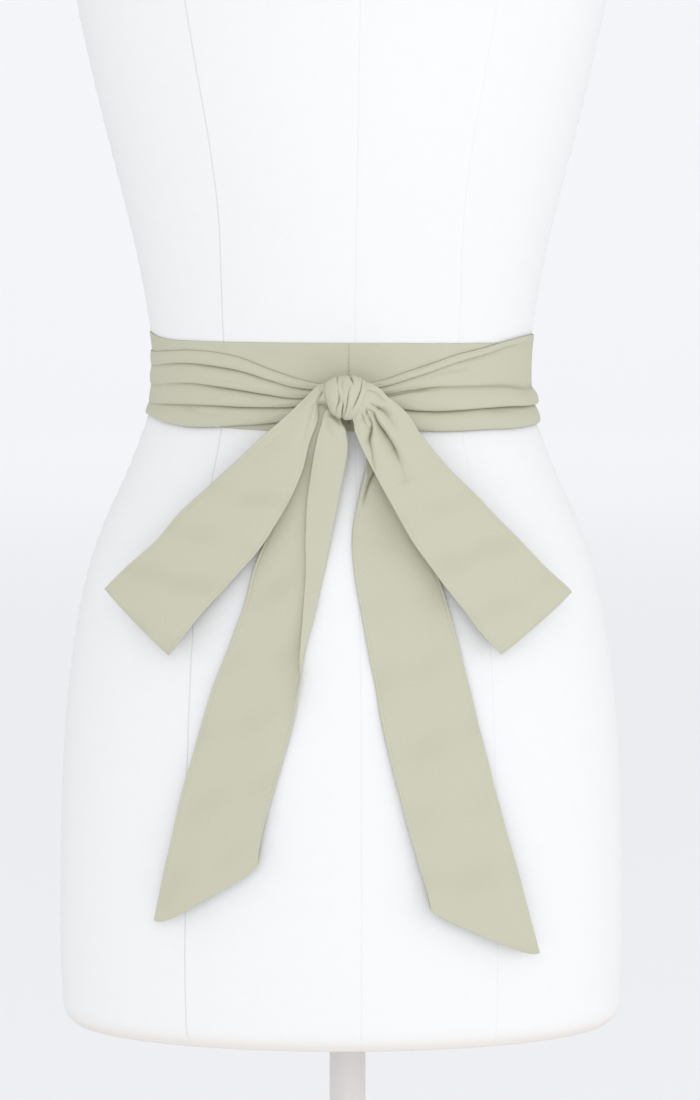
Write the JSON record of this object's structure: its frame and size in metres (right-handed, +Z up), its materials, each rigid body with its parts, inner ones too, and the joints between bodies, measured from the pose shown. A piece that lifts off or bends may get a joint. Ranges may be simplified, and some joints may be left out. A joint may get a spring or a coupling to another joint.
{
  "type": "sash on a dress form",
  "caption": "Long flat cloth sash wound round the waist of a plain limbless dress form on a round-based pole, and tied at the front in a soft bow with hanging tails.",
  "frame": {"origin": "centre of the base's underside, on the floor", "axes": "+Z up along the pole; the front of the form, with the bow, faces -Y; +X is to the right as one looks at the front"},
  "size_m": [0.3726, 0.35, 1.5513],
  "materials": {
    "sash_cloth": "fine matt crepe, pale grey-green",
    "form_canvas": "white canvas, matt",
    "stand": "pale paint, satin"
  },
  "bodies": {
    "root": {"base_plate": "stand", "base_hub": "stand", "pole": "stand", "form_collar": "stand", "torso": "form_canvas", "neck_cap": "stand", "inner_wrap_left": "sash_cloth", "inner_wrap_right": "sash_cloth", "outer_wrap_left": "sash_cloth", "outer_wrap_right": "sash_cloth", "knot": "sash_cloth", "loop_left": "sash_cloth", "loop_right": "sash_cloth", "tail_left": "sash_cloth", "tail_right": "sash_cloth"}
  },
  "joints": []
}
